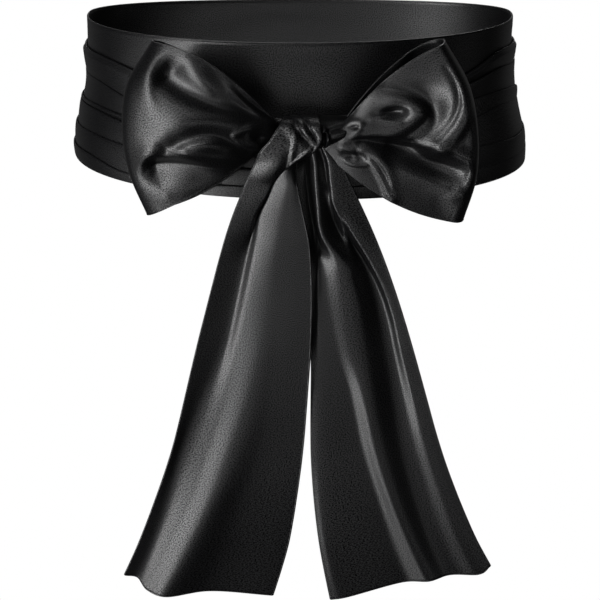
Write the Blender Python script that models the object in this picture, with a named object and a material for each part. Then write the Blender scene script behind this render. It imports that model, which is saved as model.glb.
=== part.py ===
"""A satin sash, wound twice round the waist and tied at the front in a bow.

One strip of self-faced satin 100 mm wide makes every piece here: the first turn, the pleated
second turn, the two loops, the knot and the two tails. The frame's origin is the middle of the
waist, +Z is up and the bow faces -Y. Tables are in millimetres, everything else in metres.
"""

import math

import bmesh
import bpy
import numpy as np

MM = 0.001

# The strip
WALL = 1.2 * MM
SEAM_GAP = 0.3 * MM

# The waist, an egg in plan: fuller at the front than at the back
HALF_WIDTH = 137.7 * MM
FRONT_REACH = 129.6 * MM
BACK_REACH = 75.5 * MM
WIDEST_Y = 27.2 * MM
ROUNDNESS = 2.0 / 2.15
FLARE = 9.5 * MM
FLARE_SHARE = 0.8
FLARE_FROM = 12.0 * MM
FLARE_TO = -45.0 * MM

# Heights of the two turns
TOP_AT_FRONT = 43.0 * MM
TOP_AT_SIDES = 44.5 * MM
INNER_BOTTOM = -44.0 * MM
OUTER_BOTTOM = -47.3 * MM
BOTTOM_TILT = -1.8 * MM
FRONT_DROP = -1.5 * MM
OUTER_BASE = WALL + SEAM_GAP
PLEAT_STEP = 1.3 * MM
PLEAT_EDGE = 0.9 * MM
PLEAT_SLOPE = 0.55
KNOT_TURN = math.radians(2.5)

# Mesh density
RING_STEPS = 60
SHARED_ROWS = 6
LOOP_STEPS_ALONG = 34
LOOP_STEPS_ACROSS = 19
LOOP_CROWDING = 1.2
TAIL_STEPS_DOWN = 20
TAIL_STEPS_ACROSS = 16

# Each pleat of the second turn opens upward. A row gives the height of its upper edge at turns
# round the waist: the left end at the knot, round the back, and on to the right end.
PLEAT_TURNS = (-180, -150, -95, -60, -46, -20, 0)
PLEATS_LEFT = {
    "upper_edge": (33, 31, 27, 26, 22, 4, -2),
    "soft_fold": (17, 16, 12, 9.5, 4, -7, -11),
    "double_fold": (-2, -3, -7, -5, -7, -17, -20),
    "third_fold": (-18, -19, -24, -22.5, -24, -29, -31),
    "low_fold": (-33, -34, -37, -36, -40, -40.5, -41),
}
PLEATS_RIGHT = {
    "upper_edge": (33, 31, 28, 28.5, 20, 4, -2),
    "soft_fold": (17, 16, 15, 18, 13, -4, -11),
    "double_fold": (-2, -3, -5, 4, 3, -14, -20),
    "third_fold": (-18, -19, -27, -26.5, -24.5, -29, -31),
    "low_fold": (-33, -34, -39, -39, -39, -40.5, -41),
}

# The loops. The root line is where the cloth leaves the knot and the fold line is the outer end,
# both from the top edge of the strip to its bottom edge, as x and z. The bows lift the top edge
# and the bottom edge half way out. The depths are the middle's y at root, belly and fold.
LOOP_LEFT = {
    "root": ((-14.5, 1.4), (-23.2, -15.4)),
    "fold": ((-84.5, 46.5), (-99.5, 22), (-103, -5), (-99.3, -31), (-90, -55)),
    "front_bow": (11, -1),
    "back_bow": (9, -8),
    "depths": (-124, -127, -121),
    "half_hollow": (16.5, 21),
}
LOOP_RIGHT = {
    "root": ((29.4, 5.6), (19.1, -20.4)),
    "fold": ((82.5, 47), (97, 22), (102.5, -5), (102.5, -31), (96, -56.5)),
    "front_bow": (3.5, -8),
    "back_bow": (7, -6),
    "depths": (-124, -127.5, -121),
    "half_hollow": (17.5, 21.5),
}
# Share of the hollow that is left at the strip's edges, and how much of the turn the knot hides
EDGE_HOLLOW = 0.5
ROOT_TURN = 0.026
# Where the front ply's bow gives way to the back ply's, and where pressed folds fade out, as
# shares of the way round a loop
PLY_CHANGE = (0.47, 0.53)
FOLDS_FADE = (0.34, 0.46)

# Folds pressed into the front of a loop: a curve from start by way of bend to end (x, z), how far
# it stands proud (or sinks, if negative) along it, and its soft width on the left and the right
# hand of someone who walks it.
FOLD_SAMPLES = [step / 16 for step in range(17)]
FOLDS_LEFT = (
    # start, bend, end, (rise at start, middle, end), (left width, right width)
    ((-80, 24), (-64, 8), (-18, 0), (-8.5, -5.0, -1.0), (9.0, 5.0)),
    ((-55, 33), (-44, 17), (-22, 5), (-3.0, -2.5, -0.5), (5.0, 4.0)),
    ((-93, 5), (-58, 2), (-24, -3), (2.0, 4.5, 1.0), (8.0, 10.0)),
    ((-76, -13), (-54, 3), (-30, -12), (-4.0, -4.0, -1.0), (4.0, 6.0)),
    ((-84, -23), (-72, -18), (-46, -22), (-8.0, -5.0, -1.0), (6.5, 8.0)),
)
FOLDS_RIGHT = (
    ((77, 42), (109, 17), (82, -11), (3.0, 4.0, 2.5), (5.0, 5.0)),
    ((82, -11), (108, -16), (90, -38), (2.5, 4.0, 2.0), (4.0, 4.5)),
    ((57, 19), (92, 9), (56, -10), (-2.0, -4.0, -2.0), (5.0, 4.0)),
    ((54, 10), (72, 6), (57, -4), (1.5, 4.0, 1.5), (6.0, 6.0)),
    ((38, -11), (62, -17), (86, -17), (-1.5, -5.0, -4.0), (3.5, 5.0)),
    ((58, -18), (74, -26), (93, -30), (-1.5, -5.0, -5.0), (5.0, 5.0)),
    ((28, -9), (53, -14), (54, -41), (1.0, 3.5, 2.0), (4.0, 4.0)),
)

# The knot, as sections from its left end to its right: x and z of the top, x and z of the bottom,
# and y of the front and the back.
KNOT_SECTIONS = (
    # top x, top z, bottom x, bottom z, front y, back y
    (-13.7, 1.0, -22.2, -15.0, -132.0, -113.5),
    (-10.0, 4.6, -16.0, -18.8, -138.0, -111.0),
    (-4.0, 6.6, -7.0, -22.6, -142.0, -109.7),
    (4.0, 6.8, 1.0, -24.0, -143.0, -109.6),
    (12.0, 5.4, 8.0, -22.6, -141.0, -109.7),
    (20.0, 5.0, 14.0, -21.0, -136.5, -111.0),
    (28.7, 5.4, 18.4, -20.0, -131.0, -113.5),
)
KNOT_SIDES = 26
KNOT_STEPS = 22
KNOT_SQUARE = 2.0 / 2.4
KNOT_PLAIN_ENDS = 0.15
FOLDS_KNOT = (
    ((-8, 5), (-12, -4), (-20, -14), (1.5, 2.5, 1.0), (3.5, 4.5)),
    ((5, 5), (8, -2), (10, -10), (1.0, 2.0, 1.0), (3.0, 2.5)),
    ((10, 5), (12, -2), (12.5, -12), (-2.5, -3.5, -3.5), (2.0, 2.5)),
    ((15, 2), (16, -3), (14.5, -13), (0.5, 2.0, 0.5), (2.2, 2.2)),
    ((9, -12), (2, -15), (-4, -23), (-1.5, -1.5, -2.0), (2.5, 3.0)),
)

# The tails, as sections down their length: the height, then x and y at each fold across. Places
# are the folds' shares of the strip's width. Tops and hems are the heights of the tail's ends.
TAIL_LEFT = {
    # outer edge, valley, ridge, panel, inner edge
    "places": (0.0, 0.24, 0.42, 0.70, 1.0),
    "tops": (-16.5, -18.1, -20.7, -22.4, -23.9),
    "hems": (-287, -291, -294.5, -298.5, -303.5),
    "sections": (
        (-18, (-22.5, -131), (-17, -131), (-10, -134), (-6, -133.5), (-3, -131)),
        (-45, (-35, -127), (-22.5, -125), (-17, -134), (-8, -134), (0, -129)),
        (-80, (-47, -124), (-34, -122.5), (-27.3, -133), (-10, -134), (6, -128)),
        (-120, (-57.8, -123), (-43, -121), (-33, -132), (-13, -133), (7, -127)),
        (-160, (-67.5, -123), (-57, -121.5), (-42, -133), (-18, -131), (4.5, -126)),
        (-200, (-77.5, -123), (-68, -122), (-51, -134), (-25, -129), (1.7, -126)),
        (-245, (-92.2, -122), (-84, -123.5), (-69, -136), (-37, -127), (-3.1, -127)),
        (-302, (-117, -121), (-107, -126), (-92, -135), (-52, -125), (-17, -127)),
    ),
}
TAIL_RIGHT = {
    # inner edge, first ridge, pocket, second ridge, valley, outer edge
    "places": (0.0, 0.16, 0.30, 0.46, 0.64, 1.0),
    "tops": (-24.3, -23.9, -23.0, -20.4, -19.2, -20.4),
    "hems": (-304, -297.5, -295, -291.5, -286.5, -280),
    "sections": (
        (-22, (-1, -127), (4, -131), (9, -129), (14, -132), (17, -131), (23, -131)),
        (-45, (-4, -121), (11, -132), (15, -127), (18.5, -134), (24, -131), (34, -127)),
        (-65, (-2, -121), (15.5, -132), (21.5, -126), (27.5, -135), (31, -127), (42.5, -126)),
        (-82, (1.5, -121), (19, -130), (25, -132), (29, -136), (34, -124), (49.5, -125)),
        (-120, (5.8, -121), (17, -127), (26, -133), (34, -138), (42, -121), (62, -124)),
        (-160, (6.9, -121), (18, -126), (30, -132), (39.5, -137), (51, -121), (74, -124)),
        (-200, (6.8, -121), (21, -125), (36, -130), (47, -136), (61, -121), (84.5, -125)),
        (-245, (9.9, -121), (28, -123), (47, -127), (62, -135), (80, -122), (102, -125)),
        (-302, (19, -122), (44, -121), (66, -123), (87, -131), (106, -125), (132, -124)),
    ),
}


def clear_scene():
    for old in list(bpy.data.objects):
        bpy.data.objects.remove(old, do_unlink=True)


def satin(name, shade):
    """Black satin: very dark, with a soft sheen."""
    material = bpy.data.materials.new(name)
    material.use_nodes = True
    shader = material.node_tree.nodes["Principled BSDF"]
    shader.inputs["Base Color"].default_value = (shade, shade, shade * 1.05, 1.0)
    shader.inputs["Roughness"].default_value = 0.38
    shader.inputs["Metallic"].default_value = 0.0
    return material


def smooth(share):
    """An S-shaped step from 0 to 1."""
    share = np.clip(share, 0.0, 1.0)
    return share * share * (3.0 - 2.0 * share)


def fading(place, span):
    """1 before a span, 0 after it and a soft step between."""
    return float(smooth((span[1] - place) / (span[1] - span[0])))


def spline(places, values, at):
    """A smooth curve through values given at rising places, read at one place."""
    places = np.asarray(places, float)
    values = np.asarray(values, float)
    slopes = np.gradient(values, places, axis=0)
    i = int(np.clip(np.searchsorted(places, at) - 1, 0, len(places) - 2))
    span = places[i + 1] - places[i]
    t = (at - places[i]) / span
    start = (2 * t**3 - 3 * t**2 + 1) * values[i] + (t**3 - 2 * t**2 + t) * span * slopes[i]
    end = (3 * t**2 - 2 * t**3) * values[i + 1] + (t**3 - t**2) * span * slopes[i + 1]
    return start + end


def waist_point(turn, height, out):
    """A point round the waist: turn is 0 at the front and grows towards +X."""
    side = math.sin(turn)
    fore = math.cos(turn)
    flare = FLARE * float(smooth((FLARE_FROM - height) / (FLARE_FROM - FLARE_TO)))
    reach = FRONT_REACH if fore > 0 else BACK_REACH
    wide = HALF_WIDTH + flare + out
    deep = reach + FLARE_SHARE * flare + out
    x = math.copysign(abs(side) ** ROUNDNESS, side) * wide
    y = WIDEST_Y - math.copysign(abs(fore) ** ROUNDNESS, fore) * deep
    return (x, y, height)


def bottom_height(turn, base):
    """The lower edge hangs a little at the front and towards the right."""
    return base + BOTTOM_TILT * math.sin(turn) + FRONT_DROP * max(0.0, math.cos(turn)) ** 2


def top_height(turn):
    return TOP_AT_FRONT + (TOP_AT_SIDES - TOP_AT_FRONT) * math.sin(turn) ** 2


def make_object(name, mesh_bm, material):
    """One named object from a bmesh, shaded smooth with crisp edges kept."""
    bmesh.ops.recalc_face_normals(mesh_bm, faces=mesh_bm.faces[:])
    mesh = bpy.data.meshes.new(name)
    mesh_bm.to_mesh(mesh)
    mesh_bm.free()
    mesh.shade_smooth()
    mesh.set_sharp_from_angle(angle=math.radians(50))
    mesh.materials.append(material)
    made = bpy.data.objects.new(name, mesh)
    bpy.context.scene.collection.objects.link(made)
    return made


def shaped_grid(steps_u, steps_v, place):
    """A grid whose vertices are moved to place(u, v), with u and v from 0 to 1."""
    grid = bmesh.new()
    bmesh.ops.create_grid(grid, x_segments=steps_u, y_segments=steps_v, size=0.5)
    for vert in grid.verts:
        vert.co = place(vert.co.x + 0.5, vert.co.y + 0.5)
    return grid


def wrap(name, profile, whole, material):
    """A turn of cloth: profile(turn) is a closed outline of (height, out) points, carried round
    the waist from one side of the knot to the other. A whole turn closes behind the knot."""
    span = 2 * (math.pi - KNOT_TURN) / RING_STEPS
    turns = [KNOT_TURN - math.pi + span * step - math.pi for step in range(RING_STEPS + 1)]
    if whole:
        turns.append(turns[0])
    turns = [(turn + math.pi) % (2 * math.pi) - math.pi for turn in turns]
    outlines = [profile(turn) for turn in turns]
    sides = len(outlines[0])

    def place(u, v):
        step = round(u * (len(turns) - 1))
        height, out = outlines[step][round(v * sides) % sides]
        return waist_point(turns[step], height, out)

    tube = shaped_grid(len(turns) - 1, sides, place)
    close_tube(tube)
    return make_object(name, tube, material)


def close_tube(tube):
    """Joins a tube's long seam and fills its open ends."""
    bmesh.ops.remove_doubles(tube, verts=tube.verts[:], dist=1e-6)
    rim = [edge for edge in tube.edges if edge.is_boundary]
    if rim:
        bmesh.ops.holes_fill(tube, edges=rim, sides=0)


def shared_levels(turn):
    """Heights where the two turns lie on each other, from the pleats' top to the lower edge."""
    upper = pleat_heights(turn)[0]
    lower = bottom_height(turn, INNER_BOTTOM)
    return [upper + (lower - upper) * share for share in np.linspace(0.0, 1.0, SHARED_ROWS)]


def inner_profile(turn):
    """The first turn: a plain wall."""
    heights = [top_height(turn)] + shared_levels(turn)
    outer = [(height, WALL) for height in heights]
    inner = [(height, 0.0) for height in reversed(heights)]
    return outer + inner


def pleat_heights(turn):
    """The height of each pleat's upper edge at this turn."""
    rows = PLEATS_LEFT if turn < 0 else PLEATS_RIGHT
    places = [math.radians(place) for place in PLEAT_TURNS]
    return [float(spline(places, row, -abs(turn))) * MM for row in rows.values()]


def outer_profile(turn):
    """The second turn: pleats stand proud at their upper edge over a plain inside."""
    edges = pleat_heights(turn)
    bottom = bottom_height(turn, OUTER_BOTTOM)
    outer = []
    for edge, below in zip(edges, edges[1:] + [bottom]):
        outer.append((edge, OUTER_BASE + WALL))
        outer.append((edge - PLEAT_EDGE, OUTER_BASE + WALL + PLEAT_STEP))
        outer.append(((edge + below) / 2, OUTER_BASE + WALL + PLEAT_SLOPE * PLEAT_STEP))
    outer.append((bottom, OUTER_BASE + WALL))
    inner = [(height, OUTER_BASE) for height in reversed(shared_levels(turn) + [bottom])]
    return outer + inner[:-1]


def fold_lift(x, z, folds):
    """How far the folds raise the cloth at x, z (all in millimetres)."""
    lift = 0.0
    for start, bend, end, rises, widths in folds:
        nearest = None
        for t in FOLD_SAMPLES:
            px = (1 - t) ** 2 * start[0] + 2 * t * (1 - t) * bend[0] + t * t * end[0]
            pz = (1 - t) ** 2 * start[1] + 2 * t * (1 - t) * bend[1] + t * t * end[1]
            away = math.hypot(x - px, z - pz)
            if nearest is None or away < nearest[0]:
                nearest = (away, t, px, pz)
        away, t, px, pz = nearest
        dx = 2 * (1 - t) * (bend[0] - start[0]) + 2 * t * (end[0] - bend[0])
        dz = 2 * (1 - t) * (bend[1] - start[1]) + 2 * t * (end[1] - bend[1])
        on_left = dx * (z - pz) - dz * (x - px) > 0
        width = widths[0] if on_left else widths[1]
        rise = float(spline((0.0, 0.5, 1.0), rises, t))
        lift += rise * math.exp(-((away / width) ** 2))
    return lift


def loop_surface(shape, folds):
    """The middle surface of a loop. It leaves the knot as the front ply, turns round the fold
    line and comes back as the back ply: u runs along the strip and v from its top edge down."""
    root_top, root_bottom = (np.array(point, float) for point in shape["root"])
    fold_places = np.linspace(0.0, 1.0, len(shape["fold"]))
    root_reach = math.sin(math.pi * ROOT_TURN)

    def point(u, v):
        t = ROOT_TURN + (1 - 2 * ROOT_TURN) * u**LOOP_CROWDING
        reach = math.sin(math.pi * t)
        front = fading(t, PLY_CHANGE)
        bows = np.array(shape["front_bow"]) * front + np.array(shape["back_bow"]) * (1 - front)
        bow = bows[0] * (1 - v) ** 2 + bows[1] * v**2
        fold = spline(fold_places, shape["fold"], v)
        root = root_top + (root_bottom - root_top) * v
        share = (reach - root_reach) / (1 - root_reach)
        x, z = root + (fold - root) * share
        z += bow * 4 * share * (1 - share)
        root_y, belly_y, fold_y = shape["depths"]
        centre = root_y + (fold_y - root_y) * share**2 + (belly_y - root_y) * math.sin(math.pi * share)
        hollow = shape["half_hollow"][0 if t < 0.5 else 1]
        hollow *= EDGE_HOLLOW + (1 - EDGE_HOLLOW) * math.sin(math.pi * v)
        y = centre - hollow * math.sin(2 * math.pi * t)
        if t < FOLDS_FADE[1]:
            y -= fold_lift(x, z, folds) * fading(t, FOLDS_FADE)
        return (x * MM, y * MM, z * MM)

    return point


def tail_surface(shape):
    """The middle surface of a tail: u runs across it and v down from the knot to the hem."""
    heights = [-row[0] for row in shape["sections"]]
    places = shape["places"]

    def point(u, v):
        top = spline(places, shape["tops"], u)
        hem = spline(places, shape["hems"], u)
        z = top + (hem - top) * v
        across = [spline(heights, [row[k] for row in shape["sections"]], -z)
                  for k in range(1, len(places) + 1)]
        x, y = spline(places, across, u)
        return (x * MM, y * MM, z * MM)

    return point


def cloth_wall(name, sheet, material):
    """A thin closed wall of cloth on both sides of a sheet."""
    bmesh.ops.recalc_face_normals(sheet, faces=sheet.faces[:])
    made = make_object(name, sheet, material)
    wall = made.modifiers.new("wall", "SOLIDIFY")
    wall.thickness = WALL
    wall.offset = 0.0
    return made


def knot(material):
    """The knot: one rounded body of wrapped cloth, with its strands raised on the front."""
    stations = np.linspace(0.0, 1.0, len(KNOT_SECTIONS))

    def place(u, v):
        top_x, top_z, low_x, low_z, front, back = spline(stations, KNOT_SECTIONS, u)
        angle = 2 * math.pi * v
        up = math.copysign(abs(math.sin(angle)) ** KNOT_SQUARE, math.sin(angle))
        fore = math.copysign(abs(math.cos(angle)) ** KNOT_SQUARE, math.cos(angle))
        x = (top_x + low_x) / 2 + (top_x - low_x) / 2 * up
        z = (top_z + low_z) / 2 + (top_z - low_z) / 2 * up
        y = (front + back) / 2 + (front - back) / 2 * fore
        inside = float(smooth(min(u, 1 - u) / KNOT_PLAIN_ENDS))
        y -= fold_lift(x, z, FOLDS_KNOT) * inside * max(0.0, fore)
        return (x * MM, y * MM, z * MM)

    tube = shaped_grid(KNOT_STEPS, KNOT_SIDES, place)
    close_tube(tube)
    return make_object("knot", tube, material)


def build():
    clear_scene()
    cloth = satin("black_satin", 0.012)
    wrap("inner_wrap", inner_profile, True, cloth)
    wrap("outer_wrap", outer_profile, False, cloth)
    for name, shape, folds in (("loop_left", LOOP_LEFT, FOLDS_LEFT),
                               ("loop_right", LOOP_RIGHT, FOLDS_RIGHT)):
        sheet = shaped_grid(LOOP_STEPS_ALONG, LOOP_STEPS_ACROSS, loop_surface(shape, folds))
        cloth_wall(name, sheet, cloth)
    knot(cloth)
    for name, shape in (("tail_left", TAIL_LEFT), ("tail_right", TAIL_RIGHT)):
        sheet = shaped_grid(TAIL_STEPS_ACROSS, TAIL_STEPS_DOWN, tail_surface(shape))
        cloth_wall(name, sheet, cloth)


build()
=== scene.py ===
# %% [markdown]
# A black satin sash, wound twice round the waist and tied at the front in a bow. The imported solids
# give every size and place. This script gives the cloth its looks: thin shells that follow the same
# forms with finer folds, rolled hems, the satin itself, the light and the camera. The frame comes
# first, because everything else is built around it.

# %% Load the frame
import math

import bmesh
import bpy
import numpy as np
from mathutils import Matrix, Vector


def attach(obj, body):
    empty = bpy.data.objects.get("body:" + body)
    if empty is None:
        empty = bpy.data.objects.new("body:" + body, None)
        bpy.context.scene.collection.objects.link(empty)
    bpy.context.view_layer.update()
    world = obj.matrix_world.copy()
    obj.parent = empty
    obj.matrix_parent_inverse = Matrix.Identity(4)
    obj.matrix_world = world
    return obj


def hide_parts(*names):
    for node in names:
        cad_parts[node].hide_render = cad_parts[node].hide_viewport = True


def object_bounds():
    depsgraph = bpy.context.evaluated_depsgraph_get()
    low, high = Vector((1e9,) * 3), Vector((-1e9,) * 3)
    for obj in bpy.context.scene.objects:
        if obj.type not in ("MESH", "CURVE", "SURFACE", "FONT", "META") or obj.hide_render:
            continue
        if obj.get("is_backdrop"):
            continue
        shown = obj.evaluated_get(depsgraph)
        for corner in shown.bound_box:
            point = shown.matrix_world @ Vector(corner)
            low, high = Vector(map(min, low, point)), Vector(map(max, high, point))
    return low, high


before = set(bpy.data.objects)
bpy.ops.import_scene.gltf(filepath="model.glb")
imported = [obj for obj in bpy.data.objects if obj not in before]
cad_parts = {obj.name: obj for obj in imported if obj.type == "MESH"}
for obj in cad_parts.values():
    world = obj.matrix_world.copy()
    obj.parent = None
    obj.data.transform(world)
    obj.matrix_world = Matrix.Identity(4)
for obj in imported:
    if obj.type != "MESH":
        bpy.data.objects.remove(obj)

solid_box = [list(map(float, corner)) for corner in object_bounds()]
print("solids from", solid_box[0], "to", solid_box[1])

# %% [markdown]
# Cloth has few straight lines, so nearly every number in the tables below is read through a smooth
# curve. `spline` passes through all of its rows, in cubic pieces that leave one row and reach the
# next with those rows' slopes. `soft_step` eases from one state to another. Both take whole arrays,
# which keeps a grid of thirty thousand points quick. All tables are in millimetres, because a sewer
# thinks in them, and the points are scaled to metres when a grid is shaped.

# %% Curves and steps
MM = 0.001


def soft_step(share):
    share = np.clip(share, 0.0, 1.0)
    return share * share * (3.0 - 2.0 * share)


def cubic_piece(t, span, start, start_slope, end, end_slope):
    leaving = (2 * t**3 - 3 * t**2 + 1) * start + (t**3 - 2 * t**2 + t) * span * start_slope
    reaching = (3 * t**2 - 2 * t**3) * end + (t**3 - t**2) * span * end_slope
    return leaving + reaching


def spline(places, rows, at):
    places = np.asarray(places, float)
    rows = np.asarray(rows, float)
    at = np.asarray(at, float)
    slopes = np.gradient(rows, places, axis=0)
    i = np.clip(np.searchsorted(places, at) - 1, 0, len(places) - 2)
    span = places[i + 1] - places[i]
    t = (at - places[i]) / span
    if rows.ndim == 2:
        t = t[..., None]
        span = span[..., None]
    return cubic_piece(t, span, rows[i], slopes[i], rows[i + 1], slopes[i + 1])


# %% [markdown]
# A crease in satin is a soft trough or ridge, and its two sides are seldom alike: one is steep
# where the cloth turns under, the other long and easy. So a crease is a row with a bent line (start,
# bend and end, each as x and z), its rise at the start, middle and end of that line, and its width
# to the left and to the right of someone who walks along it. Where a third number follows, the
# width changes by that factor towards the end. The rise falls off like a bell curve. Summed over the
# rows, this gives a relief that no noise can give, because each fold lies where the bow's pull puts
# it.

# %% Creases
CREASE_CHORDS = 40
NEVER_ZERO = 1e-9


def bent_line(start, bend, end, t):
    start, bend, end = (np.array(point, float) for point in (start, bend, end))
    return (1 - t) ** 2 * start + 2 * t * (1 - t) * bend + t * t * end


def crease_lift(x, z, creases):
    lift = np.zeros_like(x)
    spots = np.stack([x, z], axis=-1)
    shares = np.linspace(0.0, 1.0, CREASE_CHORDS + 1)[:, None]
    for start, bend, end, rises, widths in creases:
        line = bent_line(start, bend, end, shares)
        nearest = np.full_like(x, np.inf)
        along = np.zeros_like(x)
        leftness = np.zeros_like(x)
        for k in range(CREASE_CHORDS):
            chord = line[k + 1] - line[k]
            offset = spots - line[k]
            t = np.clip(offset @ chord / (chord @ chord), 0.0, 1.0)
            offset = offset - t[:, None] * chord
            away = np.hypot(offset[:, 0], offset[:, 1]) + NEVER_ZERO
            sine = (chord[0] * offset[:, 1] - chord[1] * offset[:, 0]) / (np.hypot(*chord) * away)
            closer = away < nearest
            nearest = np.where(closer, away, nearest)
            along = np.where(closer, (k + t) / CREASE_CHORDS, along)
            leftness = np.where(closer, 0.5 + 0.5 * sine, leftness)
        width = widths[1] + (widths[0] - widths[1]) * leftness
        if len(widths) == 3:
            width = width * (1 + (widths[2] - 1) * along)
        lift += spline((0.0, 0.5, 1.0), rises, along) * np.exp(-((nearest / width) ** 2))
    return lift


# %% [markdown]
# Every stretch of the sash starts as a flat grid from one bmesh operator, and its vertices are then
# moved to `place(u, v)`. The grid also gets a UV map in real metres: along the strip and across it.
# The satin's grain is woven into the cloth, so it has to follow the strip round each fold, and a
# map in metres keeps its size the same everywhere. A closed form also has its doubled points merged
# and its open ends filled.

# %% From a grid to a piece of cloth
MERGE_DISTANCE = 1e-6


def strip_lengths(points, axis):
    steps = np.linalg.norm(np.diff(points, axis=axis), axis=2).mean(axis=1 - axis)
    return np.concatenate([[0.0], np.cumsum(steps)])


def shaped_grid(steps_u, steps_v, place):
    u, v = np.meshgrid(np.linspace(0, 1, steps_u + 1), np.linspace(0, 1, steps_v + 1), indexing="ij")
    points = place(u.ravel(), v.ravel()).reshape(steps_u + 1, steps_v + 1, 3) * MM
    along = strip_lengths(points, 0)
    across = strip_lengths(points, 1)
    grid = bmesh.new()
    bmesh.ops.create_grid(grid, x_segments=steps_u, y_segments=steps_v, size=0.5)
    strip = grid.loops.layers.uv.new("strip")
    for vert in grid.verts:
        i = round((vert.co.x + 0.5) * steps_u)
        j = round((vert.co.y + 0.5) * steps_v)
        vert.co = points[i, j]
        for loop in vert.link_loops:
            loop[strip].uv = (along[i], across[j])
    return grid


def make_piece(name, grid, material, closed=True):
    if closed:
        bmesh.ops.remove_doubles(grid, verts=grid.verts[:], dist=MERGE_DISTANCE)
        rim = [edge for edge in grid.edges if edge.is_boundary]
        if rim:
            bmesh.ops.holes_fill(grid, edges=rim, sides=0)
    bmesh.ops.recalc_face_normals(grid, faces=grid.faces[:])
    mesh = bpy.data.meshes.new(name)
    grid.to_mesh(mesh)
    grid.free()
    mesh.shade_smooth()
    mesh.materials.append(material)
    piece = bpy.data.objects.new(name, mesh)
    bpy.context.scene.collection.objects.link(piece)
    print(name, len(mesh.vertices), "points")
    return piece


# %% [markdown]
# Shader maths reads best as plain Python. `Shade` wraps one socket of a node tree and overloads the
# operators, so that `0.4 + grain * 0.1` adds its Math nodes by itself. Every other node comes from
# the one method `node`, which sets the node's settings first and then its sockets.

# %% Shader expressions
class Shade:
    def __init__(self, tree, socket=None):
        self.tree = tree
        self.socket = socket

    def node(self, kind, settings=None, sockets=None, output=0):
        made = self.tree.nodes.new(kind)
        for name, value in (settings or {}).items():
            setattr(made, name, value)
        for name, value in (sockets or {}).items():
            if isinstance(value, Shade):
                self.tree.links.new(value.socket, made.inputs[name])
            else:
                made.inputs[name].default_value = value
        return Shade(self.tree, made.outputs[output] if made.outputs else None)

    def maths(self, operation, first, second):
        return self.node("ShaderNodeMath", {"operation": operation}, {0: first, 1: second})

    def __add__(self, other):
        return self.maths("ADD", self, other)

    def __sub__(self, other):
        return self.maths("SUBTRACT", self, other)

    def __rsub__(self, other):
        return self.maths("SUBTRACT", other, self)

    def __mul__(self, other):
        return self.maths("MULTIPLY", self, other)

    __radd__ = __add__
    __rmul__ = __mul__


# %% [markdown]
# Satin floats long warp threads over the weft, so it shines, yet each float catches the light a
# little differently: seen from a step away, that is a fine speckle which is strong in the highlight
# and gone in the dark. A bump alone would look like leather. So one fine noise, 0.6 mm to a grain,
# drives Metallic: a metallic part of a near-black colour reflects less than the clear gloss does,
# and this dims single threads. The same noise goes into the colour, the roughness and a shallow
# bump, and a wide, faint one keeps the gloss from being the same all over.

# %% The satin
SATIN_BLACK = (0.0025, 0.0025, 0.003)
DARK_THREAD = 0.2
PALE_THREAD = 1.8
GRAINS_PER_METRE = 1750.0
CLOUDS_PER_METRE = 22.0
METAL_SHARE = 0.4
SPECKLE = 3.4
SATIN_ROUGHNESS = 0.4
ROUGHNESS_OF_THREADS = 0.2
ROUGHNESS_OF_CLOUDS = 0.06
GLOSS = 0.8
RELIEF = 0.00002


def satin(name):
    material = bpy.data.materials.new(name)
    material.use_nodes = True
    tree = material.node_tree
    tree.nodes.clear()
    shader = Shade(tree)
    strip = shader.node("ShaderNodeUVMap", {"uv_map": "strip"})
    grain = shader.node("ShaderNodeTexNoise", {"noise_dimensions": "2D"}, {
        "Vector": strip, "Scale": GRAINS_PER_METRE, "Detail": 1.0})
    clouds = shader.node("ShaderNodeTexNoise", {"noise_dimensions": "2D"}, {
        "Vector": strip, "Scale": CLOUDS_PER_METRE, "Detail": 2.0})
    bump = shader.node("ShaderNodeBump", None, {
        "Strength": 1.0, "Distance": RELIEF, "Height": grain})
    dark = tuple(part * DARK_THREAD for part in SATIN_BLACK) + (1.0,)
    pale = tuple(part * PALE_THREAD for part in SATIN_BLACK) + (1.0,)
    # a Mix node has an A and a B for each kind of value: those for colours are sockets 6 and 7
    colour = shader.node("ShaderNodeMix", {"data_type": "RGBA"}, {
        "Factor": grain, 6: dark, 7: pale}, output=2)
    dull = METAL_SHARE - (grain - 0.5) * SPECKLE
    threads = (0.5 - grain) * ROUGHNESS_OF_THREADS
    roughness = SATIN_ROUGHNESS + threads + (clouds - 0.5) * ROUGHNESS_OF_CLOUDS
    surface = shader.node("ShaderNodeBsdfPrincipled", None, {
        "Base Color": colour, "Metallic": dull, "Roughness": roughness, "Normal": bump,
        "Specular IOR Level": GLOSS})
    shader.node("ShaderNodeOutputMaterial", None, {"Surface": surface})
    return material


cloth = satin("black_satin")
print("satin:", len(cloth.node_tree.nodes), "nodes")

# %% [markdown]
# The waist is an egg in plan, fuller at the front, and it flares a little over the hips. The two
# turns share it, so one function gives any point round it from a turn angle, which is zero at the
# bow, a height and how far out of the inner face it lies. The band's lower edge tilts a little to
# one side and dips under the bow, and its upper edge rises at both sides.

# %% The waist
HALF_WIDTH = 137.7
FRONT_REACH = 129.6
BACK_REACH = 75.5
WIDEST_Y = 27.2
ROUNDNESS = 2.0 / 2.15
FLARE = 9.5
FLARE_SHARE = 0.8
FLARE_FROM = 12.0
FLARE_TO = -45.0
LOWER_EDGE_TILT = 1.8
LOWER_EDGE_DIP = 1.5
UPPER_EDGE = 43.0
UPPER_EDGE_RISE = 1.5


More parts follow.
